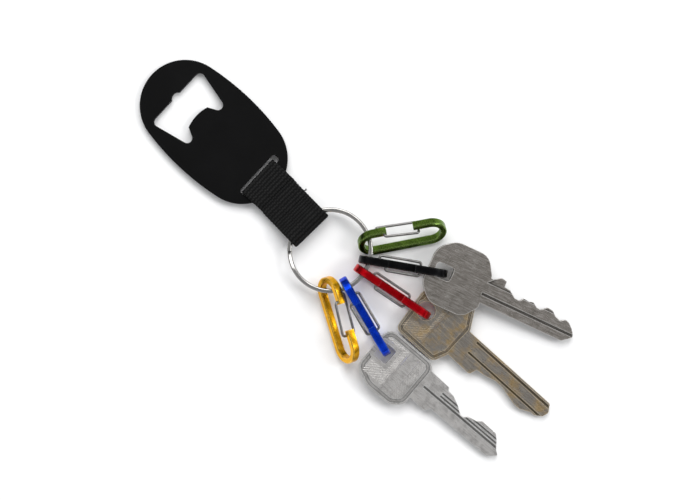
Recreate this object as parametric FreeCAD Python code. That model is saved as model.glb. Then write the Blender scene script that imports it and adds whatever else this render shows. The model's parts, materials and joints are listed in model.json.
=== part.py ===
import FreeCAD, Part
import math
import os

# Keychain bottle opener with a webbing strap, a split ring, five mini wire-gate
# carabiners and three keys, laid out on a table. Millimetres, +Z up. The shapes are
# drawn about the plate's own centre, and the finished set is moved last, so that the
# origin is under the middle of the whole object, at table height.

Vector = FreeCAD.Vector
X_AXIS = Vector(1, 0, 0)
Y_AXIS = Vector(0, 1, 0)
Z_AXIS = Vector(0, 0, 1)
SAME_PLACE = 1e-6                  # points nearer than this are one point

# ---- opener plate ----
PLATE_LENGTH = 59.3
PLATE_WIDTH = 34.4
PLATE_THICKNESS = 2.0
PLATE_END_RADIUS = 16.0
PLATE_EDGE_BREAK = 0.25
PLATE_TILT = 1.31                  # degrees, the tail lies on the webbing, the head on the table
MOUTH_HEAD_X = -18.25              # straight edge that holds the top of a crown cap
MOUTH_HALF_WIDTH = 12.7
MOUTH_CORNER_RADIUS = 1.7
MOUTH_NOTCH_HALF_WIDTH = 2.0
MOUTH_NOTCH_DEPTH = 1.1
LOBE_CENTRE = (-5.25, 7.9)         # round relief on each side of the tooth
LOBE_RADIUS = 1.8
TOOTH_CORNER = (-7.45, 4.8)
TOOTH_CROWN_X = -8.25
BAR_WIDTH = 6.0                    # strip of plate between the slot and the tail
SLOT_WIDTH = 3.0
SLOT_LENGTH = 17.7
SLOT_CORNER_RADIUS = 0.8
SLOT_CENTRE_Y = -0.15

# ---- webbing ----
WEBBING_WIDTH = 16.0
WEBBING_THICKNESS = 1.15
WEBBING_GAP = 0.1                  # between the webbing and the plate's faces
WEBBING_CENTRE_Y = -0.85
SLOT_SIDE_GAP = 0.9                # between the webbing and the bar's edge in the slot
TAIL_SIDE_GAP = 0.25               # between the webbing and the bar's edge at the plate's tail
PLATE_LOOP_END_X = 31.4
PLATE_LOOP_END_HALF = 1.25
STRAP_HINGE = (33.5, -1.15, 2.4)   # where the webbing bends behind the plate
STRAP_YAW = -2.8
STRAP_REACH = 12.0                 # from the bend to the middle of the ring tunnel
STRAP_SEWN_LENGTH = 5.6
TUNNEL_RADIUS = 2.75
STITCH_ROWS_X = (1.6, 4.6)
STITCH_COUNT = 9
STITCH_SIZE = (1.0, 0.55, 0.15)
STITCH_BAND = 13.0
TAIL_LENGTH = 1.1
TAIL_RADIUS = 0.25
TAIL_X = 3.5                       # thread tail at the strap's edge, from the bend

# ---- split ring ----
RING_OUTER_RADIUS = 15.0
RING_WIRE_WIDTH = 1.6
RING_COIL_HEIGHT = 1.15
RING_COIL_GAP = 0.04
RING_WIRE_ROUND = 0.5
RING_RAMP_ANGLE = 30.0
RING_RAMP_STEPS = 6
RING_END_ANGLE = -106.0
RING_CENTRE = (58.2, -2.5)
RING_CROSSING_X = 72.0             # where the middle carabiners hang
RING_CROSSING_HEIGHT = 5.5

# ---- carabiners ----
CARABINER_LENGTH = 31.3
CARABINER_WIDTH = 11.5
CARABINER_THICKNESS = 2.8
CARABINER_BAR = 2.1
CARABINER_EDGE_BREAK = 0.3
HINGE_ARM_END = 10.5
NOSE_TIP = 19.9
GATE_WIRE_RADIUS = 0.45
GATE_BEND_RADIUS = 0.9
GATE_HALF_WIDTH = 2.45
GATE_PIVOT = (8.3, 4.7)
GATE_END_OFFSET = (1.3, 0.27)      # each wire end sits this far from the pivot
GATE_END_DEPTH = 0.7
GATE_CROSSBAR = (21.6, 3.45)
GATE_OPENING = 25.0
GATE_PLAY = 0.06
# name: (place round the ring, heading, lean of the gate side, ring wire from the ring end)
CARABINERS = {
    "green": (53.5, 54.0, 52.0, 4.3),
    "black": (28.3, 33.2, 90.0, 3.8),
    "red": (9.7, 9.0, 90.0, 3.8),
    "blue": (-21.5, -16.5, 90.0, 3.8),
    "gold": (-48.0, -30.0, 56.0, 5.1),
}

# ---- keys ----
KEY_THICKNESS = 2.0
KEY_GROOVE_DEPTH = 0.45
KEY_STAMP_DEPTH = 0.25             # channel that follows the edge of a stamped bow
# name: (x, y and height of the hole's centre on the bottom face, heading, nose-down pitch)
KEY_PLACES = {
    "key_plain_bow": (91.9, 18.9, 6.05, 18.0, 5.9),
    "key_round_hole": (97.1, 4.95, 2.6, 1.0, 2.6),
    "key_square_hole": (96.5, -15.6, 2.75, 2.6, 2.85),
}


def arc(start, middle, end):
    """Arc edge through three XY points."""
    return Part.Arc(Vector(*start), Vector(*middle), Vector(*end)).toShape()


def line(start, end):
    return Part.LineSegment(Vector(*start), Vector(*end)).toShape()


def polar(centre, radius, degrees):
    turn = math.radians(degrees)
    return (centre[0] + radius * math.cos(turn), centre[1] + radius * math.sin(turn))


def mirrored(point):
    return (point[0], -point[1])


def slab(edges, height, base=0.0):
    """Solid of the given height over a closed outline of edges in XY."""
    outline = Part.Wire(Part.__sortEdges__(edges))
    solid = Part.Face(outline).extrude(Vector(0, 0, height))
    solid.translate(Vector(0, 0, base))
    return solid


def outline_through(points):
    """Straight edges joining the points and closing the outline."""
    closed = list(points) + [points[0]]
    return [line(a, b) for a, b in zip(closed, closed[1:])]


def rounded_box(x_low, x_high, y_low, y_high, radius, height, base=0.0):
    """Plate with four equal round corners."""
    box = Part.makeBox(x_high - x_low, y_high - y_low, height, Vector(x_low, y_low, base))
    uprights = [edge for edge in box.Edges if is_upright(edge)]
    return box.makeFillet(radius, uprights)


def is_upright(edge):
    """True for a straight edge that stands along Z."""
    ends = [vertex.Point for vertex in edge.Vertexes]
    if len(ends) < 2:
        return False
    shift = ends[0] - ends[1]
    return math.hypot(shift.x, shift.y) < SAME_PLACE


def is_level(edge):
    """True for an edge that lies at one height."""
    return edge.BoundBox.ZLength < SAME_PLACE


def corner_arc(before, corner, after, radius):
    """Start, middle and end of the arc that rounds a corner between two other points."""
    back = (before - corner).normalize()
    ahead = (after - corner).normalize()
    half = back.getAngle(ahead) / 2
    reach = radius / math.tan(half)
    middle_way = (back + ahead).normalize()
    middle = corner + middle_way * (radius / math.sin(half) - radius)
    return corner + back * reach, middle, corner + ahead * reach


def rounded_polygon(corners):
    """Edges of a polygon whose corners (x, y, radius) are rounded where radius > 0."""
    count = len(corners)
    starts = []
    edges = []
    for index, (x, y, radius) in enumerate(corners):
        here = Vector(x, y, 0)
        if radius <= 0:
            starts.append((here, here))
            continue
        before = Vector(*corners[index - 1][:2])
        after = Vector(*corners[(index + 1) % count][:2])
        enter, middle, leave = corner_arc(before, here, after, radius)
        edges.append(Part.Arc(enter, middle, leave).toShape())
        starts.append((enter, leave))
    for index, (enter, leave) in enumerate(starts):
        arrive = starts[(index + 1) % count][0]
        if (arrive - leave).Length > SAME_PLACE:
            edges.append(Part.LineSegment(leave, arrive).toShape())
    return edges


def bent_wire(points, bend_radius, wire_radius):
    """Round wire through the points, with an equal bend at each inner point."""
    nodes = [Vector(*point) for point in points]
    edges = []
    leave = nodes[0]
    for before, here, after in zip(nodes, nodes[1:], nodes[2:]):
        enter, middle, bend_end = corner_arc(before, here, after, bend_radius)
        edges.append(Part.LineSegment(leave, enter).toShape())
        edges.append(Part.Arc(enter, middle, bend_end).toShape())
        leave = bend_end
    edges.append(Part.LineSegment(leave, nodes[-1]).toShape())
    path = Part.Wire(edges)
    section = Part.Wire(Part.makeCircle(wire_radius, nodes[0], nodes[1] - nodes[0]))
    return path.makePipeShell([section], True, True)


def placed(shape, placement):
    moved = shape.copy()
    moved.Placement = placement.multiply(moved.Placement)
    return moved


# ---- opener plate ----

def oval_edges():
    """Four tangent arcs: two tight ends and two long sides."""
    half_length = PLATE_LENGTH / 2
    half_width = PLATE_WIDTH / 2
    end_x = half_length - PLATE_END_RADIUS
    side_radius = ((end_x ** 2 + half_width ** 2 - PLATE_END_RADIUS ** 2)
                   / (2 * (half_width - PLATE_END_RADIUS)))
    side_y = side_radius - half_width
    reach = side_radius / (side_radius - PLATE_END_RADIUS)
    join = (end_x * reach, -side_y + side_y * reach)
    left = (-join[0], join[1])
    return [
        arc(mirrored(join), (half_length, 0), join),
        arc(join, (0, half_width), left),
        arc(left, (-half_length, 0), mirrored(left)),
        arc(mirrored(left), (0, -half_width), mirrored(join)),
    ]


def mouth_edges():
    """Crown cap mouth: a notched straight edge facing a tooth between two lobes."""
    notch_corner = (MOUTH_HEAD_X, MOUTH_NOTCH_HALF_WIDTH)
    side_join = polar(LOBE_CENTRE, LOBE_RADIUS, 76.0)
    lobe_far = polar(LOBE_CENTRE, LOBE_RADIUS, 0.0)
    tooth_join = polar(LOBE_CENTRE, LOBE_RADIUS, -62.5)
    corner = [(point.x, point.y) for point in corner_arc(
        Vector(MOUTH_HEAD_X, 0, 0), Vector(MOUTH_HEAD_X, MOUTH_HALF_WIDTH, 0),
        Vector(*side_join), MOUTH_CORNER_RADIUS)]
    edges = []
    for flip in (tuple, mirrored):
        edges += [
            line(flip(notch_corner), flip(corner[0])),
            arc(*[flip(point) for point in corner]),
            line(flip(corner[2]), flip(side_join)),
            arc(flip(side_join), flip(lobe_far), flip(tooth_join)),
            line(flip(tooth_join), flip(TOOTH_CORNER)),
        ]
    edges.append(arc(TOOTH_CORNER, (TOOTH_CROWN_X, 0), mirrored(TOOTH_CORNER)))
    edges.append(arc(notch_corner, (MOUTH_HEAD_X - MOUTH_NOTCH_DEPTH, 0),
                     mirrored(notch_corner)))
    return edges


def slot_range():
    high = PLATE_LENGTH / 2 - BAR_WIDTH
    return high - SLOT_WIDTH, high


def opener_plate():
    plate = slab(oval_edges(), PLATE_THICKNESS)
    plate = plate.makeChamfer(PLATE_EDGE_BREAK, [edge for edge in plate.Edges if is_level(edge)])
    plate = plate.cut(slab(mouth_edges(), PLATE_THICKNESS))
    x_low, x_high = slot_range()
    half = SLOT_LENGTH / 2
    slot = rounded_box(x_low, x_high, SLOT_CENTRE_Y - half, SLOT_CENTRE_Y + half,
                       SLOT_CORNER_RADIUS, PLATE_THICKNESS)
    return plate.cut(slot)


# ---- webbing ----

def upright_profile(edges, width, centre_y):
    """Solid whose outline is drawn as (x, height) and which spans width along Y."""
    solid = slab(edges, width)
    solid.rotate(Vector(0, 0, 0), X_AXIS, 90)
    solid.translate(Vector(0, centre_y + width / 2, 0))
    return solid


def plate_loop():
    """Webbing round the bar: up through the slot, over and under, ending behind the plate."""
    middle = PLATE_THICKNESS / 2
    inner = middle + WEBBING_GAP
    outer = inner + WEBBING_THICKNESS
    bar_start = slot_range()[1]
    bar_end = PLATE_LENGTH / 2
    slot_side = bar_start - SLOT_SIDE_GAP - WEBBING_THICKNESS
    shell = rounded_polygon([
        (slot_side, -outer, WEBBING_THICKNESS),
        (bar_end, -outer, WEBBING_THICKNESS),
        (PLATE_LOOP_END_X, -PLATE_LOOP_END_HALF, 0),
        (PLATE_LOOP_END_X, PLATE_LOOP_END_HALF, 0),
        (bar_end, outer, WEBBING_THICKNESS),
        (slot_side, outer, WEBBING_THICKNESS),
    ])
    hollow = outline_through([
        (bar_start - SLOT_SIDE_GAP, -inner),
        (bar_end + TAIL_SIDE_GAP, -inner),
        (bar_end + TAIL_SIDE_GAP, inner),
        (bar_start - SLOT_SIDE_GAP, inner),
    ])
    loop = upright_profile(shell, WEBBING_WIDTH, WEBBING_CENTRE_Y)
    loop = loop.cut(upright_profile(hollow, WEBBING_WIDTH, WEBBING_CENTRE_Y))
    loop.translate(Vector(0, 0, middle))
    return loop


def tangent_from(point, centre, radius):
    """Upper point where a line from point touches the circle."""
    away = Vector(*point) - Vector(*centre)
    turn = math.degrees(math.acos(radius / away.Length))
    heading = math.degrees(math.atan2(away.y, away.x))
    return polar(centre, radius, heading - turn)


def strap_body():
    """Sewn double webbing that opens into the tunnel round the split ring."""
    outer_radius = TUNNEL_RADIUS + WEBBING_THICKNESS
    tunnel = (STRAP_REACH, 0.0)
    corner = (STRAP_SEWN_LENGTH, WEBBING_THICKNESS)
    touch = tangent_from(corner, tunnel, outer_radius)
    slope = math.atan2(touch[1] - corner[1], touch[0] - corner[0])
    apex = (STRAP_REACH - TUNNEL_RADIUS / math.sin(slope), 0.0)
    inner_touch = polar(tunnel, TUNNEL_RADIUS, 90 + math.degrees(slope))
    shell = [
        arc((0, WEBBING_THICKNESS), (-WEBBING_THICKNESS, 0), (0, -WEBBING_THICKNESS)),
        line((0, WEBBING_THICKNESS), corner),
        line(corner, touch),
        arc(touch, (STRAP_REACH + outer_radius, 0), mirrored(touch)),
        line(mirrored(touch), mirrored(corner)),
        line(mirrored(corner), (0, -WEBBING_THICKNESS)),
    ]
    hollow = [
        line(apex, inner_touch),
        arc(inner_touch, (STRAP_REACH + TUNNEL_RADIUS, 0), mirrored(inner_touch)),
        line(mirrored(inner_touch), apex),
    ]
    strap = upright_profile(shell, WEBBING_WIDTH, 0.0)
    return strap.cut(upright_profile(hollow, WEBBING_WIDTH, 0.0))


def strap_stitching():
    """Two cross rows of stitches on each face of the sewn part."""
    length, width, height = STITCH_SIZE
    pitch = STITCH_BAND / (STITCH_COUNT - 1)
    stitches = []
    for row_x in STITCH_ROWS_X:
        for index in range(STITCH_COUNT):
            y = -STITCH_BAND / 2 + index * pitch
            for base in (WEBBING_THICKNESS, -WEBBING_THICKNESS - height):
                stitch = Part.makeBox(length, width, height,
                                      Vector(row_x - length / 2, y - width / 2, base))
                stitches.append(stitch)
    return Part.makeCompound(stitches)


def thread_tail():
    """Cut end of the sewing thread at the strap's edge."""
    return Part.makeCylinder(TAIL_RADIUS, TAIL_LENGTH,
                             Vector(TAIL_X, WEBBING_WIDTH / 2, 0), Y_AXIS)


# ---- split ring ----

def ring_section(level, degrees):
    """Rounded section of the ring wire, standing at an angle round the ring."""
    width = RING_WIRE_WIDTH / 2
    height = RING_COIL_HEIGHT / 2
    corners = [(x, y, RING_WIRE_ROUND)
               for x, y in ((-width, -height), (width, -height), (width, height), (-width, height))]
    section = Part.Wire(Part.__sortEdges__(rounded_polygon(corners)))
    section.rotate(Vector(0, 0, 0), X_AXIS, 90)
    section.translate(Vector(RING_OUTER_RADIUS - width, 0, level))
    section.rotate(Vector(0, 0, 0), Z_AXIS, degrees)
    return section


def split_ring():
    """Two flat coils joined by one rising stretch, with a cut end on each side of it."""
    rise = RING_COIL_HEIGHT + RING_COIL_GAP
    low = -rise / 2
    flat_angle = 360.0 - RING_RAMP_ANGLE
    solids = []
    for level, start in ((low, RING_END_ANGLE), (-low, RING_END_ANGLE)):
        face = Part.Face(ring_section(level, start))
        solids.append(face.revolve(Vector(0, 0, 0), Z_AXIS, flat_angle))
    ramp_start = RING_END_ANGLE + flat_angle
    sections = []
    for step in range(RING_RAMP_STEPS + 1):
        share = step / RING_RAMP_STEPS
        eased = share * share * (3 - 2 * share)
        sections.append(ring_section(low + rise * eased, ramp_start + share * RING_RAMP_ANGLE))
    solids.append(Part.makeLoft(sections, True, False))
    return solids[0].multiFuse(solids[1:]).removeSplitter()


# ---- carabiners ----

def stadium(inset, height):
    """Rounded-end bar outline of the carabiner, drawn inwards by inset."""
    half = CARABINER_WIDTH / 2 - inset
    left = CARABINER_WIDTH / 2
    right = CARABINER_LENGTH - left
    edges = [
        line((left, half), (right, half)),
        arc((right, half), (right + half, 0), (right, -half)),
        line((right, -half), (left, -half)),
        arc((left, -half), (left - half, 0), (left, half)),
    ]
    return slab(edges, height, -height / 2)


def gate_slot(side):
    """Short slot in the hinge arm for one end of the gate wire."""
    x = GATE_PIVOT[0] + side * GATE_END_OFFSET[0]
    closed = Vector(x, GATE_PIVOT[1] + side * GATE_END_OFFSET[1], 0)
    opened = closed.sub(Vector(*GATE_PIVOT))
    opened = FreeCAD.Rotation(Z_AXIS, -GATE_OPENING).multVec(opened) + Vector(*GATE_PIVOT)
    radius = GATE_WIRE_RADIUS + GATE_PLAY
    depth = CARABINER_THICKNESS / 2 - GATE_END_DEPTH + GATE_PLAY
    base = GATE_END_DEPTH - GATE_PLAY
    if side < 0:
        base = -CARABINER_THICKNESS / 2
    lift = Vector(0, 0, base)
    pieces = [Part.makeCylinder(radius, depth, end + lift) for end in (closed, opened)]
    across = (opened - closed).cross(Z_AXIS).normalize() * radius
    corners = [closed + across, opened + across, opened - across, closed - across]
    pieces.append(slab(outline_through([tuple(corner) for corner in corners]), depth, base))
    return pieces[0].multiFuse(pieces[1:])


def carabiner_frame():
    """Flat hooked bar, ring end at the origin, gate side towards +Y."""
    frame = stadium(0.0, CARABINER_THICKNESS).cut(stadium(CARABINER_BAR, CARABINER_THICKNESS))
    gap = Part.makeBox(NOSE_TIP - HINGE_ARM_END, CARABINER_WIDTH, CARABINER_THICKNESS,
                       Vector(HINGE_ARM_END, 0, -CARABINER_THICKNESS / 2))
    frame = frame.cut(gap)
    level = [edge for edge in frame.Edges if is_level(edge)]
    frame = frame.makeChamfer(CARABINER_EDGE_BREAK, level)
    seat = Part.makeCylinder(GATE_WIRE_RADIUS + GATE_PLAY, CARABINER_THICKNESS,
                             Vector(*GATE_CROSSBAR, -CARABINER_THICKNESS / 2))
    return frame.cut(seat).cut(gate_slot(1)).cut(gate_slot(-1))


def wire_gate():
    """Spring wire loop from one side of the hinge arm, round under the nose, and back."""
    ends = []
    for side in (1, -1):
        x = GATE_PIVOT[0] + side * GATE_END_OFFSET[0]
        y = GATE_PIVOT[1] + side * GATE_END_OFFSET[1]
        ends.append([(x, y, side * GATE_END_DEPTH), (x, y, side * GATE_HALF_WIDTH)])
    far = [(*GATE_CROSSBAR, side * GATE_HALF_WIDTH) for side in (1, -1)]
    points = ends[0] + far + ends[1][::-1]
    return bent_wire(points, GATE_BEND_RADIUS, GATE_WIRE_RADIUS)


def carabiner_placement(name):
    """Carabiner lying on the table, hooked on the ring at its place round the ring."""
    place, heading, lean, seat = CARABINERS[name]
    turn = FreeCAD.Rotation(Z_AXIS, heading).multiply(FreeCAD.Rotation(X_AXIS, lean))
    lean_sine = math.sin(math.radians(lean))
    lean_cosine = math.cos(math.radians(lean))
    edge = CARABINER_THICKNESS / 2 - CARABINER_EDGE_BREAK
    rise = lean_sine * CARABINER_WIDTH / 2 + lean_cosine * edge
    crossing = ring_point(place)
    seated = Vector(seat, (crossing.z - rise) / lean_sine, 0)
    return FreeCAD.Placement(crossing - turn.multVec(seated), turn)


# ---- keys ----

def shallow_cut(points, top):
    """Cutter for a shallow milled area in the top or the bottom face of a key."""
    base = KEY_THICKNESS - KEY_GROOVE_DEPTH if top else 0.0
    return slab(outline_through(points), KEY_GROOVE_DEPTH, base)


def blade_groove(x_low, x_high, y_low, y_high, top):
    """Cutter for a groove along a key's blade."""
    return shallow_cut([(x_low, y_low), (x_high, y_low), (x_high, y_high), (x_low, y_high)], top)


def shrunk_slab(corners, inset, height):
    """Slab over a rounded polygon drawn inwards by an equal inset."""
    outline = Part.Wire(Part.__sortEdges__(rounded_polygon(corners)))
    return Part.Face(outline.makeOffset2D(-inset)).extrude(Vector(0, 0, height))


def stamped_channel(corners, outer_inset, inner_inset, boss):
    """Cutter for a channel that follows the bow's edge on the top face, round the boss."""
    ring = shrunk_slab(corners, outer_inset, KEY_STAMP_DEPTH)
    ring = ring.cut(shrunk_slab(corners, inner_inset, KEY_STAMP_DEPTH)).cut(boss)
    ring.translate(Vector(0, 0, KEY_THICKNESS - KEY_STAMP_DEPTH))
    return ring


def key_blank(bow, blade, hole):
    """Bow and blade joined into one flat blank, with the hole cut out of it."""
    key = slab(rounded_polygon(bow), KEY_THICKNESS)
    key = key.fuse(slab(rounded_polygon(blade), KEY_THICKNESS)).removeSplitter()
    return key.cut(hole)


def key_plain_bow():
    """House key with a smooth bow. Every key is drawn about its hole, blade towards +X."""
    bow = [(-5.6, 7.0, 6.5), (-5.4, -6.4, 6.5), (-0.5, -11.6, 6.5), (12.4, -11.6, 5.5),
           (16.2, -6.4, 1.5), (16.2, 5.6, 1.5), (12.4, 11.6, 5.5), (0.2, 11.6, 6.5)]
    blade = [(13.0, -4.5, 0), (48.0, -4.5, 1.2), (51.5, -1.6, 0.8), (49.6, 1.0, 0), (47.9, 2.4, 0),
             (46.6, 2.9, 0.4), (44.8, 1.7, 0), (42.6, 2.4, 0), (41.0, 3.8, 0), (39.0, 4.1, 0.3),
             (36.8, 2.3, 0), (35.3, 2.4, 0), (33.4, 3.6, 0.4), (31.8, 3.1, 0), (29.9, 3.4, 0),
             (28.7, 2.0, 0), (26.7, 2.1, 0.5), (24.2, 3.9, 0), (21.9, 4.2, 0), (21.8, 6.3, 0.5),
             (19.6, 6.6, 0.8), (17.4, 4.9, 0.8), (13.0, 5.3, 0)]
    hole = rounded_box(-3.3, 3.3, -2.6, 2.6, 1.2, KEY_THICKNESS)
    key = key_blank(bow, blade, hole)
    milled_shoulder = [(15.6, 3.0), (51.5, 3.0), (51.5, 7.0), (19.6, 7.0)]
    key = key.cut(shallow_cut(milled_shoulder, True))
    key = key.cut(blade_groove(15.4, 51.5, -1.8, -0.8, True))
    return key.cut(blade_groove(19.5, 51.5, -0.4, 0.8, False))


def key_round_hole():
    """House key with a bordered bow and a round hole."""
    bow = [(-3.9, -11.7, 2.5), (13.4, -11.7, 2.5), (15.9, -6.2, 2.0), (16.2, 5.0, 2.0),
           (12.0, 12.3, 3.0), (-4.8, 12.3, 3.5), (-5.4, 3.0, 4.0)]
    blade = [(14.0, -6.1, 0), (26.0, -6.4, 1.0), (27.0, -3.5, 0.5), (30.1, -3.2, 1.0),
             (34.6, -2.0, 1.5), (38.1, -2.1, 2.0), (42.6, -3.2, 1.5), (45.1, -3.8, 1.2),
             (47.6, -3.6, 0.8), (51.1, -1.9, 0.6), (52.7, -1.9, 0.5), (55.2, -0.3, 0.6),
             (56.0, 2.0, 1.2), (54.2, 4.8, 1.0), (14.0, 4.8, 0)]
    hole = Part.makeCylinder(3.3, KEY_THICKNESS)
    key = key_blank(bow, blade, hole)
    boss = Part.makeCylinder(4.2, KEY_THICKNESS)
    key = key.cut(stamped_channel(bow, 0.8, 1.8, boss))
    key = key.cut(blade_groove(20.5, 56.0, 3.2, 4.1, True))
    key = key.cut(blade_groove(20.5, 56.0, -1.3, -0.5, True))
    return key.cut(blade_groove(24.0, 56.0, 1.2, 2.3, False))


def key_square_hole():
    """House key with a bordered bow and a framed square hole."""
    bow = [(-4.7, -9.6, 4.0), (2.4, -12.9, 6.0), (12.8, -12.9, 5.0), (16.9, -9.6, 4.0),
           (16.9, 8.0, 4.0), (-4.7, 8.0, 4.0)]
    blade = [(14.0, -6.1, 0), (23.8, -6.5, 0.8), (24.8, -4.6, 0.4), (50.6, -4.6, 1.0),
             (53.8, -2.0, 0.6), (52.0, -0.8, 0), (49.9, 1.9, 0), (48.2, 3.6, 0.8), (41.7, 3.8, 0.8),
             (40.1, 2.4, 0), (37.1, 1.8, 0), (35.8, 0.5, 0.5), (34.4, 0.4, 0.5), (31.6, 2.4, 0),
             (28.2, 4.0, 0), (25.6, 4.1, 0), (25.2, 5.3, 0.4), (14.0, 5.7, 0)]
    hole = rounded_box(-2.8, 2.8, -3.0, 3.0, 0.8, KEY_THICKNESS)
    key = key_blank(bow, blade, hole)
    boss = rounded_box(-4.0, 3.9, -4.1, 4.1, 1.2, KEY_THICKNESS)
    key = key.cut(stamped_channel(bow, 0.7, 2.0, boss))
    key = key.cut(blade_groove(24.6, 54.0, 1.9, 2.5, True))
    key = key.cut(blade_groove(24.6, 54.0, 0.7, 1.3, True))
    key = key.cut(blade_groove(18.0, 54.0, -0.6, 0.2, True))
    return key.cut(blade_groove(24.0, 54.0, -2.6, -1.2, False))


def key_placement(name):
    x, y, height, heading, pitch = KEY_PLACES[name]
    turn = FreeCAD.Rotation(Z_AXIS, heading).multiply(FreeCAD.Rotation(Y_AXIS, pitch))
    return FreeCAD.Placement(Vector(x, y, height), turn)


# ---- assembly ----

def plate_placement():
    """Plate tipped up about the head's lower edge."""
    head = Vector(-PLATE_LENGTH / 2, 0, 0)
    return FreeCAD.Placement(Vector(), FreeCAD.Rotation(Y_AXIS, -PLATE_TILT), head)


def ring_tunnel_height():
    return TUNNEL_RADIUS + WEBBING_THICKNESS


def strap_placement():
    """Strap rising from the bend to the ring tunnel, which rests on the table."""
    climb = ring_tunnel_height() - STRAP_HINGE[2]
    pitch = math.degrees(math.asin(climb / STRAP_REACH))
    turn = FreeCAD.Rotation(Z_AXIS, STRAP_YAW).multiply(FreeCAD.Rotation(Y_AXIS, -pitch))
    return FreeCAD.Placement(Vector(*STRAP_HINGE), turn)


def ring_placement():
    """Ring rising from the strap's tunnel to the carabiners."""
    tunnel = strap_placement().multVec(Vector(STRAP_REACH, 0, 0))
    climb = RING_CROSSING_HEIGHT - tunnel.z
    slope = math.atan2(climb, RING_CROSSING_X - tunnel.x)
    height = tunnel.z + (RING_CENTRE[0] - tunnel.x) * math.tan(slope)
    turn = FreeCAD.Rotation(Y_AXIS, -math.degrees(slope))
    return FreeCAD.Placement(Vector(*RING_CENTRE, height), turn)


def ring_point(degrees):
    """Centre of the ring wire at an angle round the ring."""
    x, y = polar((0, 0), RING_OUTER_RADIUS - RING_WIRE_WIDTH / 2, degrees)
    return ring_placement().multVec(Vector(x, y, 0))


def build_nodes():
    nodes = {
        "opener_plate": placed(opener_plate(), plate_placement()),
        "strap_plate_loop": placed(plate_loop(), plate_placement()),
        "strap_ring_loop": placed(strap_body(), strap_placement()),
        "strap_stitching": placed(strap_stitching(), strap_placement()),
        "strap_thread_tail": placed(thread_tail(), strap_placement()),
        "split_ring": placed(split_ring(), ring_placement()),
        "key_plain_bow": placed(key_plain_bow(), key_placement("key_plain_bow")),
        "key_round_hole": placed(key_round_hole(), key_placement("key_round_hole")),
        "key_square_hole": placed(key_square_hole(), key_placement("key_square_hole")),
    }
    frame = carabiner_frame()
    gate = wire_gate()
    for name in CARABINERS:
        nodes["carabiner_frame_" + name] = placed(frame, carabiner_placement(name))
        nodes["wire_gate_" + name] = placed(gate, carabiner_placement(name))
    return nodes


def origin_shift(nodes):
    """Move from the plate's centre to the point under the middle of the whole object."""
    box = Part.makeCompound(list(nodes.values())).BoundBox
    return Vector(-box.Center.x, -box.Center.y, -box.ZMin)


def main():
    os.makedirs("parts", exist_ok=True)
    nodes = build_nodes()
    shift = origin_shift(nodes)
    for name, shape in nodes.items():
        shape.translate(shift)
        shape.exportStep("parts/" + name + ".step")


if __name__ == "__main__":
    main()
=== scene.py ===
import json
import math
import random

import bpy
from mathutils import Matrix, Vector


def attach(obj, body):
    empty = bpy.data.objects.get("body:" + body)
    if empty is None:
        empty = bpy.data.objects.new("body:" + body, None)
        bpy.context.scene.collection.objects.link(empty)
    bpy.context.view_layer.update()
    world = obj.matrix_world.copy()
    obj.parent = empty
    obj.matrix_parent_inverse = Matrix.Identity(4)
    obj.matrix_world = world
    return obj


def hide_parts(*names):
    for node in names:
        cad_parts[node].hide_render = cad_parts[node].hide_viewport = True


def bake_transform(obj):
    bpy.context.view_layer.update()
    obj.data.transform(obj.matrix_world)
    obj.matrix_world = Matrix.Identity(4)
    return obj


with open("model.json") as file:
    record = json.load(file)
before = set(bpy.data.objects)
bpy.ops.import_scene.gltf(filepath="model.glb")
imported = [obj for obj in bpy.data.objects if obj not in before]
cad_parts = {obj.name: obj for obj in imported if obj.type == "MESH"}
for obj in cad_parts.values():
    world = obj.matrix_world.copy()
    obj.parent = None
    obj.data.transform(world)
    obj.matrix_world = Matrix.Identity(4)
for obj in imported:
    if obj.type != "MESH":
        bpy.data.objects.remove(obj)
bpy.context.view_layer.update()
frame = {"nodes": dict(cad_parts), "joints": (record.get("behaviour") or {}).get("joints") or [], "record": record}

# Looks of the keychain bottle opener: metal finishes on the CAD nodes, and new pieces for
# the woven webbing, its stitches, the thread tail and the hatching on two key bows.
# Metres throughout. The new pieces are drawn in frames that are read from the CAD model.

MM = 0.001

# ---- sizes that the webbing shares with the CAD model ----
PLATE_THICKNESS = 2.0 * MM
PLATE_HALF_LENGTH = 29.65 * MM
BAR_START = 23.65 * MM              # the slot's edge, from the plate's centre
MOUTH_MOUNT = Vector((-13.2, 0.0, 1.0)) * MM
WEBBING_WIDTH = 16.0 * MM
WEBBING_THICKNESS = 1.15 * MM
WEBBING_GAP = 0.1 * MM
SLOT_SIDE_GAP = 0.9 * MM
WEBBING_CENTRE_Y = -0.85 * MM
PLATE_LOOP_END = 31.4 * MM
TUNNEL_RADIUS = 2.75 * MM

# ---- weave ----
RIB_PITCH = 1.3 * MM
YARN_PITCH = 0.8 * MM
WEAVE_HEIGHT = 0.3 * MM
SAMPLES_PER_RIB = 8
SAMPLES_PER_YARN = 5
SELVEDGE_SAMPLES = 6
CURVE_STEPS = 12
BAR_STEPS = 4
SEWN_POINTS_X = tuple(x * MM for x in (0.3, 1.6, 3.0, 4.4, 5.4))
RING_TURN_DEGREES = (128, 112, 95, 78, 61, 44, 28, 12)
PLATE_END_PINCH = 0.78
LOOP_END_SPREAD = 1.12
SEWN_SPREAD = 1.04
RIB_ROUNDNESS = 0.8
YARN_ROUNDNESS = 0.6
YARN_DIP = 0.4
YARN_STAGGER = 0.16
YARN_WANDER = 0.06
SELVEDGE_DIP = 0.25
SELVEDGE_FLATNESS = 0.9

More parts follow.
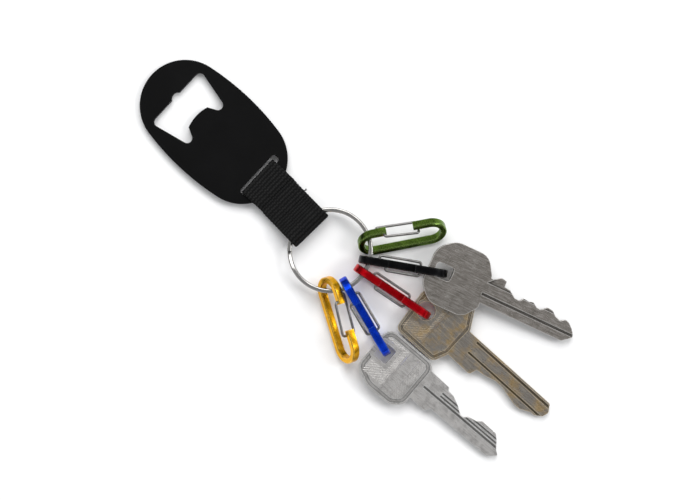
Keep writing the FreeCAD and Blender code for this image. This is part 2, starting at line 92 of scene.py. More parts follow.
# ---- stitches ----
STITCH_ROWS_X = (1.6 * MM, 4.6 * MM)
STITCH_COUNT = 9
STITCH_LENGTH = 1.0 * MM
STITCH_RADIUS = 0.17 * MM
STITCH_BAND = 13.0 * MM
STITCH_LEAN = 0.16
STITCH_SHIFT = 0.08 * MM
STITCH_STEPS = 8
STITCH_REACH = STITCH_LENGTH * 1.15
STITCH_SINK = 0.22 * MM
STITCH_RISE = 0.2 * MM
TAIL_X = 3.5 * MM
TAIL_LENGTH = 1.1 * MM
TAIL_STEPS = 7
TAIL_RADIUS = 0.13 * MM
TUBE_UP = Vector((0.123, 0.45, 0.88))    # along no tube here

# ---- hatching and softened edges of the keys ----
HATCH_PITCH = 0.6 * MM
HATCH_WIDTH = HATCH_PITCH * 0.75
HATCH_HEIGHT = 0.025 * MM
SHORTEST_HATCH = 0.7 * MM
DIVIDER_WIDTH = 0.45 * MM
DIVIDER_HEIGHT = 0.1 * MM
EDGE_ROUND = 0.12 * MM

# ---- camera and light ----
IMAGE_WIDTH_ON_TABLE = 246.4 * MM
VIEW_CENTRE = Vector((1.55, -1.54, 0.0)) * MM
VIEW_ROLL = math.radians(43.0)
LENS = 85.0
SENSOR = 36.0
TABLE_HALF = 3.0
SOFTBOX_DISTANCE = 1.4
TENT_COLOUR = (0.64, 0.645, 0.655)
TENT_TOP = (0.97, 0.72)             # sines of the heights between which the top fades
TENT_FOOT = (0.1, 0.4)
TOP_LIGHT = 0.55
FOOT_LIGHT = 0.12

# ---- finishes ----
# Edge masks below lighten edges, partly as wear and partly as a painted highlight.
EDGE_WEAR_AND_GLINT_WIDTH = 0.4 * MM
BAR_EDGE_HIGHLIGHT_WIDTH = 0.3 * MM
PLATE_EDGE_WEAR_AND_GLINT_WIDTH = 0.12 * MM
# Reaches and share below set the painted shade in grooves and hollows.
GROOVE_SHADE_REACH = 1.5 * MM
BAR_HOLLOW_SHADE_REACH = 0.8 * MM
ANODISED_ROUGHNESS = 0.26
GROOVE_SHADE_SHARE = 0.12                   # of the shade's colour
GRAIN_SPAN = (0.3, 0.7)             # where fine noise mostly lies


# ---- frames read from the CAD model ----

def axes(origin, x_axis, z_axis):
    """Matrix of a frame from its origin, X direction and Z direction."""
    z = Vector(z_axis).normalized()
    y = z.cross(Vector(x_axis)).normalized()
    x = y.cross(z)
    turn = Matrix((x, y, z)).transposed().to_4x4()
    return Matrix.Translation(Vector(origin)) @ turn


def joint(name):
    return next(j for j in frame["joints"] if j["name"] == name)


def mount(name):
    return next(m for m in frame["record"]["mounts"] if m["name"] == name)


def plate_frame():
    """Plate's own frame: X towards the strap, origin at the centre of its bottom face."""
    mouth = mount("crown_cap_mouth")
    turn = axes((0, 0, 0), (1, 0, 0), mouth["axis"])
    origin = Vector(mouth["pos_m"]) - turn @ MOUTH_MOUNT
    return axes(origin, (1, 0, 0), mouth["axis"])


def strap_frame():
    """Strap's own frame: X from the bend to the ring's tunnel, Z off its upper face."""
    bend = Vector(joint("strap_bend")["pos_m"])
    tunnel = Vector(joint("ring_swing")["pos_m"])
    across = Vector(joint("ring_swing")["axis"])
    along = tunnel - bend
    return axes(bend, along, along.cross(across)), along.length


def key_frame(node):
    """Key's frame: Z off its top face, X along its blade, origin at its bow's near corner."""
    mesh = frame["nodes"][node].data
    face = max(mesh.polygons, key=lambda f: f.area if f.normal.z > 0.5 else 0.0)
    uses = {}
    for polygon in mesh.polygons:
        for edge in polygon.edge_keys:
            uses[edge] = uses.get(edge, 0) + 1
    points = [v.co for v in mesh.vertices]
    outline = [edge for edge, count in uses.items() if count == 1]
    ends = max(outline, key=lambda e: (points[e[0]] - points[e[1]]).length)
    along = points[ends[1]] - points[ends[0]]
    if along.x < 0:
        along = -along
    turn = axes((0, 0, 0), along, face.normal)
    local = [turn.transposed() @ p for p in points]
    corner = Vector((min(p.x for p in local), min(p.y for p in local), max(p.z for p in local)))
    return Matrix.Translation(turn @ corner) @ turn


def blade_heading(node):
    """Angle of a key's blade in the table plane."""
    return key_frame(node).to_euler().z


# ---- mesh helpers ----

def new_piece(name, points, faces, smooth=True):
    mesh = bpy.data.meshes.new(name)
    mesh.from_pydata([tuple(p) for p in points], [], faces)
    mesh.update()
    if smooth:
        mesh.polygons.foreach_set("use_smooth", [True] * len(mesh.polygons))
    piece = bpy.data.objects.new(name, mesh)
    bpy.context.scene.collection.objects.link(piece)
    return piece


def ring_faces(rings, around, closed):
    """Quads between rings of points, each ring closed on itself."""
    faces = []
    count = rings if closed else rings - 1
    for i in range(count):
        here = i * around
        there = ((i + 1) % rings) * around
        for k in range(around):
            after = (k + 1) % around
            faces.append((here + k, here + after, there + after, there + k))
    return faces


def tube(path, radius_at, around=10):
    """Points and faces of a capped tube along a path; radius_at(share, angle) gives its radius."""
    points = []
    count = len(path)
    up = TUBE_UP
    for i, centre in enumerate(path):
        ahead = (path[min(i + 1, count - 1)] - path[max(i - 1, 0)]).normalized()
        side = ahead.cross(up).normalized()
        top = side.cross(ahead)
        for k in range(around):
            angle = 2 * math.pi * k / around
            radius = radius_at(i / (count - 1), angle)
            points.append(centre + (side * math.cos(angle) + top * math.sin(angle)) * radius)
    faces = ring_faces(count, around, False)
    faces.append(tuple(range(around - 1, -1, -1)))
    faces.append(tuple(range((count - 1) * around, count * around)))
    return points, faces


def joined(parts):
    """One list of points and faces from several."""
    points = []
    faces = []
    for part_points, part_faces in parts:
        start = len(points)
        points += part_points
        faces += [tuple(start + i for i in face) for face in part_faces]
    return points, faces


# ---- finishes ----

def new_finish(name):
    material = bpy.data.materials.new(name)
    material.use_nodes = True
    return material, material.node_tree, material.node_tree.nodes["Principled BSDF"]


def add(tree, kind, inputs=None, **settings):
    """New node with its settings, and its inputs set to values or linked to sockets."""
    node = tree.nodes.new(kind)
    for key, value in settings.items():
        setattr(node, key, value)
    for key, value in (inputs or {}).items():
        if isinstance(value, bpy.types.NodeSocket):
            tree.links.new(value, node.inputs[key])
        else:
            node.inputs[key].default_value = value
    return node


def stretched(tree, scale, turn=(0, 0, 0)):
    """Object coordinates, turned and scaled."""
    coords = add(tree, "ShaderNodeTexCoord")
    mapping = add(tree, "ShaderNodeMapping", {"Vector": coords.outputs["Object"],
                                              "Rotation": turn, "Scale": scale})
    return mapping.outputs["Vector"]


def noise(tree, vector, scale, detail=3.0, roughness=0.55):
    node = add(tree, "ShaderNodeTexNoise", {"Vector": vector, "Scale": scale,
                                            "Detail": detail, "Roughness": roughness})
    return node.outputs["Fac"]


def remap(tree, value, low, high, to_low=0.0, to_high=1.0):
    node = add(tree, "ShaderNodeMapRange", {"Value": value, "From Min": low, "From Max": high,
                                            "To Min": to_low, "To Max": to_high})
    return node.outputs["Result"]


def times(tree, first, second):
    node = add(tree, "ShaderNodeMath", {0: first, 1: second}, operation="MULTIPLY")
    return node.outputs["Value"]


def mix(tree, share, first, second):
    """Colour between first and second; both may be sockets or (r, g, b)."""
    sockets = {0: share}
    for index, colour in ((6, first), (7, second)):
        sockets[index] = colour if isinstance(colour, bpy.types.NodeSocket) else (*colour, 1.0)
    return add(tree, "ShaderNodeMix", sockets, data_type="RGBA").outputs[2]


def edge_mask(tree, radius, strength=1.0, spread=0.85):
    """Bright along the outer and inner edges of a solid."""
    bevel = add(tree, "ShaderNodeBevel", {"Radius": radius}, samples=6)
    surface = add(tree, "ShaderNodeNewGeometry")
    likeness = add(tree, "ShaderNodeVectorMath",
                   {0: bevel.outputs["Normal"], 1: surface.outputs["Normal"]},
                   operation="DOT_PRODUCT")
    return remap(tree, likeness.outputs["Value"], 0.998, spread, 0.0, strength)


def cavity(tree, reach, low, high):
    """1 in grooves, corners and hidden places, and 0 on open faces."""
    shade = add(tree, "ShaderNodeAmbientOcclusion", {"Distance": reach}, samples=8,
                only_local=True)
    return remap(tree, shade.outputs["AO"], high, low)


def scratches(tree, density, turn):
    """Thin lines at odd angles, broken up into short strokes."""
    vector = stretched(tree, (1.0, 14.0, 1.0), turn)
    lines = noise(tree, vector, density, 2.0, 0.4)
    thin = remap(tree, lines, 0.655, 0.675)
    broken = noise(tree, stretched(tree, (1, 1, 1)), density * 0.35, 1.0)
    return times(tree, thin, remap(tree, broken, 0.48, 0.6))


def bump(tree, height, strength, distance):
    return add(tree, "ShaderNodeBump", {"Height": height, "Strength": strength,
                                        "Distance": distance}).outputs["Normal"]


def drawn_marks_and_glints(tree, heading):
    """Fine long marks along a heading in the table plane, as drawn and milled metal has; they also paint lighter
    and darker streaks that stand in for reflections.
    """
    coords = add(tree, "ShaderNodeTexCoord")
    along = add(tree, "ShaderNodeMapping", {"Vector": coords.outputs["Object"],
                                            "Rotation": (0.0, 0.0, heading),
                                            "Scale": (1.0, 0.045, 0.045)}, vector_type="TEXTURE")
    return noise(tree, along.outputs["Vector"], 110.0, 2.0)


def metal(name, base, shade, bright, roughness, edge_wear_and_glint=0.5, patch=260.0, scratch=900.0,
          groove_shade=0.85, wobble=0.0, heading=None):
    """Worn metal: blotches between base and shade, edges lightened partly by wear and partly as a
    painted highlight, scratches, and painted shade darkening its grooves. Wobble makes its
    surface roll a little, as handled metal does, and heading gives it long marks that way, painted
    lighter and darker partly as streaks that stand in for reflections."""
    material, tree, shader = new_finish(name)
    plain = stretched(tree, (1, 1, 1))
    blotches = remap(tree, noise(tree, plain, patch, 5.0, 0.6), 0.46, 0.66)
    colour = mix(tree, blotches, base, shade)
    if heading is not None:
        marks_and_glints = drawn_marks_and_glints(tree, heading)
        # Lighter and darker streaks along the marks: partly drawing marks, partly painted reflections of polish.
        colour = mix(tree, remap(tree, marks_and_glints, 0.5, 0.7, 0.0, 0.22), colour, bright)
        colour = mix(tree, remap(tree, marks_and_glints, 0.48, 0.3, 0.0, 0.3), colour,
                     tuple(c * 0.4 for c in shade))
    # Edges lightened towards the bright colour: partly real edge wear, partly a painted highlight.
    rubbed_and_glinting_edges = edge_mask(tree, EDGE_WEAR_AND_GLINT_WIDTH, edge_wear_and_glint, 0.93)
    colour = mix(tree, rubbed_and_glinting_edges, colour, bright)
    lines = scratches(tree, scratch, (0.3, 0.2, 0.9))
    colour = mix(tree, times(tree, lines, 0.6), colour, bright)
    # Painted shade: grooves, corners and hollows darkened towards a dark copy of the shade colour.
    painted_groove_shade = times(tree, cavity(tree, GROOVE_SHADE_REACH, 0.72, 0.985), groove_shade)
    colour = mix(tree, painted_groove_shade, colour, tuple(c * GROOVE_SHADE_SHARE for c in shade))
    tree.links.new(colour, shader.inputs["Base Color"])
    grain = noise(tree, plain, patch * 14.0, 2.0)
    rough = remap(tree, grain, *GRAIN_SPAN, roughness * 0.8, roughness * 1.25)
    tree.links.new(rough, shader.inputs["Roughness"])
    normal = bump(tree, grain, 0.25, 0.01 * MM)
    if wobble:
        waves = noise(tree, plain, 130.0, 2.0)
        normal = add(tree, "ShaderNodeBump", {"Height": waves, "Strength": 1.0, "Normal": normal,
                                              "Distance": wobble}).outputs["Normal"]
    tree.links.new(normal, shader.inputs["Normal"])
    shader.inputs["Metallic"].default_value = 1.0
    return material


def anodised(name, base, bright):
    """Dyed anodised bar: fine grain, with a painted highlight along its edges and painted shade in its hollows."""
    material, tree, shader = new_finish(name)
    plain = stretched(tree, (1, 1, 1))
    dark = tuple(c * 0.75 for c in base)
    colour = mix(tree, remap(tree, noise(tree, plain, 420.0, 4.0), 0.35, 0.7), base, dark)
    # Painted highlight: edges lightened towards the bright colour, standing in for light on the chamfers.
    colour = mix(tree, edge_mask(tree, BAR_EDGE_HIGHLIGHT_WIDTH, 0.95, 0.9), colour, bright)
    # Painted shade: hollows and corners darkened towards a dark copy of the dye.
    shade = cavity(tree, BAR_HOLLOW_SHADE_REACH, 0.5, 0.9)
    colour = mix(tree, times(tree, shade, 0.7), colour, tuple(c * 0.15 for c in base))
    tree.links.new(colour, shader.inputs["Base Color"])
    grain = noise(tree, plain, 5200.0, 2.0)
    tree.links.new(remap(tree, grain, *GRAIN_SPAN, ANODISED_ROUGHNESS * 0.8,
                         ANODISED_ROUGHNESS * 1.2), shader.inputs["Roughness"])
    waves = noise(tree, plain, 170.0, 1.0)
    fine = bump(tree, grain, 0.3, 0.008 * MM)
    rolling = add(tree, "ShaderNodeBump", {"Height": waves, "Strength": 0.8,
                                           "Distance": 0.7 * MM, "Normal": fine})
    tree.links.new(rolling.outputs["Normal"], shader.inputs["Normal"])
    shader.inputs["Metallic"].default_value = 1.0
    return material


def black_plate():
    """Matte black anodised sheet with faint handling marks and a thin grey edge that is partly edge wear and
    partly a painted highlight.
    """
    material, tree, shader = new_finish("black_anodised_plate")
    plain = stretched(tree, (1, 1, 1))
    smudges = remap(tree, noise(tree, plain, 90.0, 4.0, 0.6), 0.4, 0.7)
    colour = mix(tree, smudges, (0.001, 0.001, 0.0011), (0.002, 0.002, 0.0022))
    # Thin grey edge: partly edge wear, partly a painted highlight.
    colour = mix(tree, edge_mask(tree, PLATE_EDGE_WEAR_AND_GLINT_WIDTH, 0.3), colour, (0.02, 0.02, 0.021))
    lines = scratches(tree, 500.0, (0.1, 0.4, 0.7))
    colour = mix(tree, times(tree, lines, 0.15), colour, (0.008, 0.008, 0.0085))
    tree.links.new(colour, shader.inputs["Base Color"])
    grain = noise(tree, plain, 4200.0, 2.0)
    tree.links.new(remap(tree, grain, *GRAIN_SPAN, 0.42, 0.6), shader.inputs["Roughness"])
    tree.links.new(bump(tree, grain, 0.35, 0.012 * MM), shader.inputs["Normal"])
    shader.inputs["Specular IOR Level"].default_value = 0.08
    return material


def webbing_finish():
    """Black woven nylon: fine fibres along the yarns, rib tops painted lighter than the valleys as painted light
    and shade, and a little dust on the ribs.
    """
    material, tree, shader = new_finish("black_nylon_webbing")
    coords = add(tree, "ShaderNodeUVMap", uv_map="strip")
    fibres_at = add(tree, "ShaderNodeMapping", {"Vector": coords.outputs["UV"],
                                                "Scale": (900.0, 9000.0, 1.0)})
    fibres = noise(tree, fibres_at.outputs["Vector"], 1.0, 3.0)
    dust_at = add(tree, "ShaderNodeMapping", {"Vector": coords.outputs["UV"],
                                              "Scale": (420.0, 420.0, 1.0)})
    dust = remap(tree, noise(tree, dust_at.outputs["Vector"], 1.0, 4.0), 0.42, 0.72)
    lift = add(tree, "ShaderNodeAttribute", attribute_name="weave_height").outputs["Fac"]
    crown = remap(tree, lift, 0.45, 0.95)
    colour = mix(tree, fibres, (0.001, 0.001, 0.001), (0.003, 0.003, 0.003))
    # Painted light and shade: rib tops lighter and valleys darker, following the weave's height.
    colour = mix(tree, crown, colour, (0.0115, 0.0115, 0.0115))
    colour = mix(tree, times(tree, times(tree, dust, crown), 0.5), colour, (0.022, 0.022, 0.0215))
    tree.links.new(colour, shader.inputs["Base Color"])
    tree.links.new(remap(tree, fibres, *GRAIN_SPAN, 0.62, 0.85), shader.inputs["Roughness"])
    tree.links.new(bump(tree, fibres, 0.6, 0.03 * MM), shader.inputs["Normal"])
    shader.inputs["Specular IOR Level"].default_value = 0.12
    return material


def thread_finish():
    """Black polyester sewing thread with a slight shine."""
    material, tree, shader = new_finish("black_sewing_thread")
    strands = noise(tree, stretched(tree, (1, 1, 1)), 6000.0, 3.0)
    colour = mix(tree, strands, (0.001, 0.001, 0.001), (0.006, 0.006, 0.006))
    tree.links.new(colour, shader.inputs["Base Color"])
    tree.links.new(remap(tree, strands, *GRAIN_SPAN, 0.4, 0.6), shader.inputs["Roughness"])
    tree.links.new(bump(tree, strands, 0.5, 0.02 * MM), shader.inputs["Normal"])
    shader.inputs["Specular IOR Level"].default_value = 0.15
    return material


def table_finish():
    """Plain white studio board."""
    material, tree, shader = new_finish("studio_board")
    fine = noise(tree, stretched(tree, (1, 1, 1)), 300.0, 2.0)
    tree.links.new(mix(tree, fine, (0.93, 0.93, 0.93), (0.95, 0.95, 0.95)),
                   shader.inputs["Base Color"])
    tree.links.new(remap(tree, fine, 0.0, 1.0, 0.85, 0.95), shader.inputs["Roughness"])
    shader.inputs["Specular IOR Level"].default_value = 0.1
    return material


def dress(node, material):
    """Gives a CAD node its finish."""
    piece = frame["nodes"][node]
    if not piece.material_slots:
        piece.data.materials.append(material)
    for material_slot in piece.material_slots:
        material_slot.material = material


def soften_edges(node):
    """Merges the node's flat facets and rounds its sharp edges a little."""
    piece = frame["nodes"][node]
    weld = piece.modifiers.new("weld", "WELD")
    weld.merge_threshold = 0.002 * MM
    flat = piece.modifiers.new("flat", "DECIMATE")
    flat.decimate_type = "DISSOLVE"
    flat.angle_limit = math.radians(0.4)
    bevel = piece.modifiers.new("bevel", "BEVEL")
    bevel.width = EDGE_ROUND
    bevel.segments = 2
    bevel.limit_method = "ANGLE"
    bevel.angle_limit = math.radians(35.0)


# ---- webbing ----

def eased(points, steps):
    """Catmull-Rom curve through a closed list of points."""
    curve = []
    count = len(points)
    for i in range(count):
        p0, p1, p2, p3 = (points[(i + k) % count] for k in (-1, 0, 1, 2))
        for step in range(steps):
            t = step / steps
            curve.append(0.5 * (2 * p1 + (p2 - p0) * t + (2 * p0 - 5 * p1 + 4 * p2 - p3) * t * t
                                + (3 * p1 - p0 - 3 * p2 + p3) * t ** 3))
    return curve


def evenly(curve, count):
    """Points at equal distances along a closed curve."""
    closed = curve + [curve[0]]
    lengths = [0.0]
    for before, after in zip(closed, closed[1:]):
        lengths.append(lengths[-1] + (after - before).length)
    total = lengths[-1]
    points = []
    index = 0
    for i in range(count):
        goal = total * i / count
        while lengths[index + 1] < goal:
            index += 1
        span = lengths[index + 1] - lengths[index]
        points.append(closed[index].lerp(closed[index + 1], (goal - lengths[index]) / span))
    return points, total


def strip_route():
    """Middle line of the webbing, once round: through the slot, over and under the bar, and
    round the ring. Each point is (x, height) in the plate's or the strap's frame."""
    half = WEBBING_THICKNESS / 2
    lift = PLATE_THICKNESS / 2 + WEBBING_GAP + half
    slot_x = BAR_START - SLOT_SIDE_GAP - half
    upper = [("plate", slot_x, lift - half), ("plate", slot_x + half * 0.3, lift - half * 0.3),
             ("plate", slot_x + half, lift)]
    for step in range(1, BAR_STEPS + 1):
        x = slot_x + half + (PLATE_HALF_LENGTH - half - slot_x - half) * step / BAR_STEPS
        upper.append(("plate", x, lift))
    upper += [("plate", PLATE_HALF_LENGTH + half, lift * PLATE_END_PINCH),
              ("plate", PLATE_LOOP_END, half * LOOP_END_SPREAD)]
    upper += [("strap", x, half * SEWN_SPREAD) for x in SEWN_POINTS_X]
    round_radius = TUNNEL_RADIUS + half
    for degrees in RING_TURN_DEGREES:
        turn = math.radians(degrees)
        upper.append(("strap", STRAP_REACH + round_radius * math.cos(turn),
                      round_radius * math.sin(turn)))
    lower = [(place, x, -height) for place, x, height in reversed(upper)]
    return [("plate", slot_x, 0.0)] + upper + [("strap", STRAP_REACH + round_radius, 0.0)] + lower


def webbing_points():
    """Route in the row frame, with the middle of the plate's part off its centre line."""
    points = []
    for place, x, height in strip_route():
        if place == "plate":
            local = Vector((x, WEBBING_CENTRE_Y, height + PLATE_THICKNESS / 2))
            points.append(PLATE @ local)
        else:
            points.append(STRAP @ Vector((x, 0.0, height)))
    return points


def across_at(point):
    """Direction across the webbing: the plate's before the bend, the strap's after it."""
    share = (point.x - (PLATE @ Vector((BAR_START, 0, 0))).x) / (
        STRAP.translation.x - (PLATE @ Vector((BAR_START, 0, 0))).x)
    share = min(1.0, max(0.0, share))
    return PLATE.col[1].xyz.lerp(STRAP.col[1].xyz, share).normalized()


def weave(rib, yarn):
    """Height from 0 to 1 of the weave at a place counted in ribs and yarns."""
    shift = YARN_SHIFTS[min(math.floor(yarn), len(YARN_SHIFTS) - 1)]
    over = abs(math.sin(math.pi * (rib + shift)))
    crown = abs(math.sin(math.pi * yarn))
    return over ** RIB_ROUNDNESS * (1 - YARN_DIP + YARN_DIP * crown ** YARN_ROUNDNESS)


def section_place(k, flat, edge):
    """Where sample k of the webbing's section lies: its face (1 up, -1 down, 0 and 2 the two
    edges), and its share across the width or round the edge."""
    if k < flat:
        return 1, k / (flat - 1)
    k -= flat
    if k < edge:
        return 0, (k + 1) / (edge + 1)
    k -= edge
    if k < flat:
        return -1, 1 - k / (flat - 1)
    k -= flat
    return 2, (k + 1) / (edge + 1)


def make_webbing():
    """One woven strip, modelled rib by rib and yarn by yarn."""
    curve = eased(webbing_points(), CURVE_STEPS)
    total = evenly(curve, 10)[1]
    ribs = round(total / RIB_PITCH / 2) * 2
    count = ribs * SAMPLES_PER_RIB
    centres = evenly(curve, count)[0]
    yarns = round(WEBBING_WIDTH / YARN_PITCH)
    flat = yarns * SAMPLES_PER_YARN + 1
    around = 2 * flat + 2 * SELVEDGE_SAMPLES
    half_width = WEBBING_WIDTH / 2 - WEBBING_THICKNESS / 2
    points = []
    places = []
    heights = []
    for i, centre in enumerate(centres):
        ahead = (centres[(i + 1) % count] - centres[i - 1]).normalized()
        across = across_at(centre)
        out = ahead.cross(across).normalized()
        rib = i / SAMPLES_PER_RIB
        for k in range(around):
            face, share = section_place(k, flat, SELVEDGE_SAMPLES)
            if face in (1, -1):
                y = (share * 2 - 1) * half_width
                height = weave(rib, share * yarns)
                lift = WEBBING_THICKNESS / 2 - WEAVE_HEIGHT * (1 - height)
                point = centre + across * y + out * (face * lift)
            else:
                side = 1 if face == 0 else -1
                height = abs(math.sin(math.pi * rib))
                angle = math.pi * (0.5 - share) * side
                radius = WEBBING_THICKNESS / 2 * (1 - SELVEDGE_DIP + SELVEDGE_DIP * height)
                y = side * half_width + math.cos(math.pi * (0.5 - share)) * radius * side
                point = centre + across * y + out * (math.sin(angle) * radius
                                                     * SELVEDGE_FLATNESS)
            points.append(point)
            places.append((total * i / count, y))
            heights.append(height)
    piece = new_piece("webbing_strip", points, ring_faces(count, around, True))
    strip = piece.data.uv_layers.new(name="strip")
    for loop in piece.data.loops:
        strip.data[loop.index].uv = places[loop.vertex_index]
    lift_layer = piece.data.attributes.new("weave_height", "FLOAT", "POINT")
    lift_layer.data.foreach_set("value", heights)
    piece.data.materials.append(webbing_finish())
    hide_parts("strap_plate_loop", "strap_ring_loop")
    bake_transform(piece)


def twisted(share, angle):
    """Radius of a two-ply thread, as a share of its own radius."""
    return 0.86 + 0.14 * math.cos(2 * (angle - share * 2 * math.pi))


def make_stitches():
    """Two rows of thread stitches on each face of the sewn part, each dipping at both ends."""
    draw = random.Random(7)
    parts = []
    for row_x in STITCH_ROWS_X:
        for index in range(STITCH_COUNT):
            y = -STITCH_BAND / 2 + index * STITCH_BAND / (STITCH_COUNT - 1)
            for side in (1, -1):
                lean = draw.uniform(-STITCH_LEAN, STITCH_LEAN)
                shift = draw.uniform(-STITCH_SHIFT, STITCH_SHIFT)
                path = []
                for step in range(STITCH_STEPS + 1):
                    share = step / STITCH_STEPS - 0.5
                    x = row_x + shift + share * STITCH_REACH
                    rise = math.cos(share * math.pi) ** 0.5 if abs(share) < 0.5 else 0.0
                    z = WEBBING_THICKNESS - STITCH_SINK + STITCH_RISE * rise
                    path.append(STRAP @ Vector((x, y + share * STITCH_LENGTH * lean, side * z)))
                parts.append(tube(path, lambda s, a: STITCH_RADIUS * twisted(s, a)))
    piece = new_piece("bar_tack_stitches", *joined(parts))
    piece.data.materials.append(THREAD)
    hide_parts("strap_stitching")
    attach(piece, "strap")


def make_thread_tail():
    """Cut thread end at the strap's edge, its plies fanning out a little."""
    start_y = WEBBING_WIDTH / 2 - 0.3 * MM
    parts = []
    for ply, spread in enumerate((-1, 0, 1)):
        path = []
        for step in range(TAIL_STEPS + 1):
            share = step / TAIL_STEPS
            fan = spread * (0.08 + 0.22 * share ** 2) * MM
            path.append(STRAP @ Vector((TAIL_X + fan + 0.15 * MM * share,
                                        start_y + share * (TAIL_LENGTH + 0.2 * MM) * (1 - 0.08 * ply),
                                        0.12 * MM * math.sin(share * 2 + ply))))
        parts.append(tube(path, lambda s, a: TAIL_RADIUS * (1 - 0.25 * s) * twisted(s, a), 8))
    piece = new_piece("thread_tail", *joined(parts))
    piece.data.materials.append(THREAD)
    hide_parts("strap_thread_tail")
    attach(piece, "strap")


# ---- hatching on the key bows ----

def clipped(start, heading, low, high):
    """Stretch (t0, t1) of a line that lies inside a rectangle, or None."""
    first, last = -1.0, 1.0
    for axis in (0, 1):
        if abs(heading[axis]) < 1e-9:
            if not low[axis] < start[axis] < high[axis]:
                return None
            continue
        bounds = sorted(((low[axis] - start[axis]) / heading[axis],
                         (high[axis] - start[axis]) / heading[axis]))
        first = max(first, bounds[0])
        last = min(last, bounds[1])
    return (first, last) if last > first else None


def without(stretch, hole):
    """The stretch with the hole's part taken out: up to two stretches."""
    if hole is None or hole[1] <= stretch[0] or hole[0] >= stretch[1]:
        return [stretch]
    return [(stretch[0], hole[0]), (hole[1], stretch[1])]


def ridge(key, start, heading, first, last, width, height):
    """Thin three-sided ridge with pointed ends on a key's top face."""
    sink = -0.03 * MM
    taper = 0.25 * MM
    side = Vector((-heading.y, heading.x)) * width / 2

    def point(along, across, z):
        flat = start + heading * along + side * across
        return key @ Vector((flat.x, flat.y, z))

    points = [point(first, 0, sink)]
    for along in (first + taper, last - taper):
        points += [point(along, -1, sink), point(along, 1, sink), point(along, 0, height)]
    points.append(point(last, 0, sink))
    faces = [(0, 1, 3), (0, 3, 2), (0, 2, 1), (1, 4, 6, 3), (3, 6, 5, 2), (2, 5, 4, 1),
             (7, 6, 4), (7, 5, 6), (7, 4, 5)]
    return points, faces


def hatching(key, low, high, boss_low, boss_high, degrees):
    """Parallel ridges across a field of a key bow, leaving out the boss round its hole."""
    turn = math.radians(degrees)
    heading = Vector((math.cos(turn), math.sin(turn)))
    across = Vector((-heading.y, heading.x))
    centre = Vector(((low[0] + high[0]) / 2, (low[1] + high[1]) / 2))
    reach = (Vector(high) - Vector(low)).length / 2
    parts = []
    lines = int(reach / HATCH_PITCH)
    for index in range(-lines, lines + 1):
        start = centre + across * (index * HATCH_PITCH)
        stretch = clipped(start, heading, low, high)
        if stretch is None:
            continue
        hole = clipped(start, heading, boss_low, boss_high)
        for first, last in without(stretch, hole):
            if last - first > SHORTEST_HATCH:
                parts.append(ridge(key, start, heading, first, last, HATCH_WIDTH, HATCH_HEIGHT))
    return parts


def divider(key, x, y_low, y_high):
    """Raised line across a key bow."""
    return [ridge(key, Vector((x, 0.0)), Vector((0.0, 1.0)), y_low, y_high, DIVIDER_WIDTH,
                  DIVIDER_HEIGHT)]


def add_hatching(name, body, parts, material):
    piece = new_piece(name, *joined(parts), smooth=False)
    piece.data.materials.append(material)
    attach(piece, body)


def make_key_hatching():
    """Hatched fields and dividing lines on the two bordered bows, measured from each bow's
    near corner on its top face."""
    round_key = key_frame("key_round_hole")
    boss = ((1.0 * MM, 7.2 * MM), (9.8 * MM, 16.2 * MM))
    field = ((2.4 * MM, 2.3 * MM), (11.2 * MM, 21.6 * MM))
    parts = hatching(round_key, *field, *boss, 45.0)
    parts += divider(round_key, 11.6 * MM, 2.0 * MM, 22.0 * MM)
    parts += divider(round_key, 19.6 * MM, 5.0 * MM, 18.0 * MM)
    add_hatching("round_hole_key_hatching", "key_round_hole", parts, SHADED_TARNISHED_HATCH)
    square_key = key_frame("key_square_hole")
    boss = ((0.5 * MM, 8.6 * MM), (8.8 * MM, 17.2 * MM))
    near_field = ((2.3 * MM, 3.2 * MM), (11.3 * MM, 18.6 * MM))
    far_field = ((16.2 * MM, 3.2 * MM), (19.0 * MM, 18.6 * MM))
    parts = hatching(square_key, *near_field, *boss, 45.0)
    parts += hatching(square_key, *far_field, *boss, -45.0)
    for x in (11.7 * MM, 15.8 * MM):
        parts += divider(square_key, x, 2.6 * MM, 18.8 * MM)
    add_hatching("square_hole_key_hatching", "key_square_hole", parts, SHADED_SILVER_HATCH)


# ---- studio ----

def make_table():
    reach = TABLE_HALF
    points = [(-reach, -reach, 0), (reach, -reach, 0), (reach, reach, 0), (-reach, reach, 0)]
    table = new_piece("table", points, [(0, 1, 2, 3)], smooth=False)
    table.data.materials.append(table_finish())


def make_camera():
    """Camera straight above the table, turned so that the set lies slantwise in the view."""
    data = bpy.data.cameras.new("camera")
    data.lens = LENS
    data.sensor_width = SENSOR
    camera = bpy.data.objects.new("camera", data)
    bpy.context.scene.collection.objects.link(camera)
    distance = IMAGE_WIDTH_ON_TABLE * LENS / SENSOR
    camera.location = VIEW_CENTRE + Vector((0, 0, distance))
    camera.rotation_euler = (0, 0, VIEW_ROLL)
    bpy.context.scene.camera = camera


def make_softbox(name, azimuth, elevation, size, power):
    """Square soft light aimed at the set; azimuth is measured from the top of the view."""
    turn = VIEW_ROLL + math.pi / 2 + math.radians(azimuth)
    lift = math.radians(elevation)
    place = Vector((math.cos(turn) * math.cos(lift), math.sin(turn) * math.cos(lift),
                    math.sin(lift))) * SOFTBOX_DISTANCE
    data = bpy.data.lights.new(name, "AREA")
    data.size = size
    data.energy = power
    light = bpy.data.objects.new(name, data)
    light.location = place
    light.rotation_euler = place.to_track_quat("Z", "Y").to_euler()
    bpy.context.scene.collection.objects.link(light)


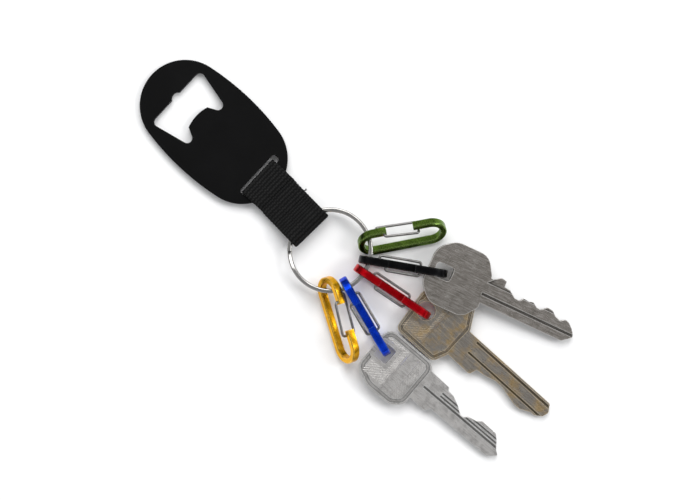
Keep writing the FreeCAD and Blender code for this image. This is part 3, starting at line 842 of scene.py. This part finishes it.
def make_studio_light():
    """Light tent, darker straight above and at the floor line, with two softboxes."""
    world = bpy.data.worlds.new("studio")
    world.use_nodes = True
    tree = world.node_tree
    background = tree.nodes["Background"]
    ray = add(tree, "ShaderNodeTexCoord")
    height = add(tree, "ShaderNodeSeparateXYZ", {"Vector": ray.outputs["Generated"]})
    walls = remap(tree, height.outputs["Z"], *TENT_TOP, TOP_LIGHT, 1.0)
    floor_line = remap(tree, height.outputs["Z"], *TENT_FOOT, FOOT_LIGHT, 1.0)
    dome = times(tree, walls, floor_line)
    tree.links.new(mix(tree, dome, (0.0, 0.0, 0.0), TENT_COLOUR),
                   background.inputs["Color"])
    background.inputs["Strength"].default_value = 1.0
    bpy.context.scene.world = world
    make_softbox("key_softbox", azimuth=0.0, elevation=50.0, size=1.1, power=15.0)
    make_softbox("side_softbox", azimuth=-80.0, elevation=42.0, size=0.5, power=6.0)
    bpy.context.scene.view_settings.view_transform = "Standard"


PLATE = plate_frame()
STRAP, STRAP_REACH = strap_frame()
YARN_DRAW = random.Random(3)
YARN_SHIFTS = [YARN_STAGGER * (index % 2) + YARN_DRAW.uniform(-YARN_WANDER, YARN_WANDER)
               for index in range(round(WEBBING_WIDTH / YARN_PITCH))]
THREAD = thread_finish()
GREY_KEY = metal("grey_key", (0.31, 0.285, 0.26), (0.245, 0.225, 0.20), (0.95, 0.92, 0.88), 0.3,
                 edge_wear_and_glint=0.95, patch=420.0, wobble=0.03 * MM, heading=blade_heading("key_plain_bow"))
TARNISHED_KEY = metal("tarnished_key", (0.34, 0.315, 0.285), (0.50, 0.36, 0.19),
                      (1.0, 0.84, 0.60), 0.3, edge_wear_and_glint=1.0, patch=240.0, wobble=0.03 * MM,
                      heading=blade_heading("key_round_hole"))
SILVER_KEY = metal("silver_key", (0.80, 0.775, 0.75), (0.56, 0.54, 0.52), (1.0, 1.0, 0.98), 0.3,
                   edge_wear_and_glint=1.0, patch=360.0, groove_shade=0.8, wobble=0.04 * MM,
                   heading=blade_heading("key_square_hole"))
# Hatch ridges and dividing lines take darker copies of their keys' metals: painted shade of the fine hatching.
SHADED_TARNISHED_HATCH = metal("shaded_tarnished_key_hatch", (0.20, 0.18, 0.155), (0.27, 0.20, 0.12),
                        (0.6, 0.48, 0.32), 0.36, edge_wear_and_glint=0.25, patch=240.0)
SHADED_SILVER_HATCH = metal("shaded_silver_key_hatch", (0.46, 0.44, 0.42), (0.34, 0.325, 0.31),
                     (0.9, 0.88, 0.86), 0.3, edge_wear_and_glint=0.25, patch=360.0)
RING_STEEL = metal("ring_steel", (0.42, 0.41, 0.395), (0.33, 0.325, 0.315), (0.62, 0.61, 0.60), 0.2,
                   edge_wear_and_glint=0.2)
WIRE_STEEL = metal("wire_steel", (0.20, 0.197, 0.19), (0.14, 0.138, 0.134), (0.3, 0.29, 0.28), 0.3,
                   edge_wear_and_glint=0.0)
# The second colour of each bar is its painted edge highlight.
ANODISED = {
    "green": anodised("green_anodised_bar", (0.115, 0.20, 0.03), (0.5, 0.68, 0.24)),
    "black": anodised("black_anodised_bar", (0.012, 0.012, 0.013), (0.10, 0.10, 0.10)),
    "red": anodised("red_anodised_bar", (0.60, 0.004, 0.010), (1.0, 0.14, 0.16)),
    "blue": anodised("blue_anodised_bar", (0.006, 0.055, 0.75), (0.10, 0.32, 1.0)),
    "gold": anodised("gold_anodised_bar", (0.90, 0.45, 0.015), (1.0, 0.82, 0.3)),
}

dress("opener_plate", black_plate())
dress("split_ring", RING_STEEL)
dress("key_plain_bow", GREY_KEY)
dress("key_round_hole", TARNISHED_KEY)
dress("key_square_hole", SILVER_KEY)
for colour_name, bar_finish in ANODISED.items():
    dress("carabiner_frame_" + colour_name, bar_finish)
    dress("wire_gate_" + colour_name, WIRE_STEEL)
for key_node in ("key_plain_bow", "key_round_hole", "key_square_hole"):
    soften_edges(key_node)

make_webbing()
make_stitches()
make_thread_tail()
make_key_hatching()
make_table()
make_camera()
make_studio_light()
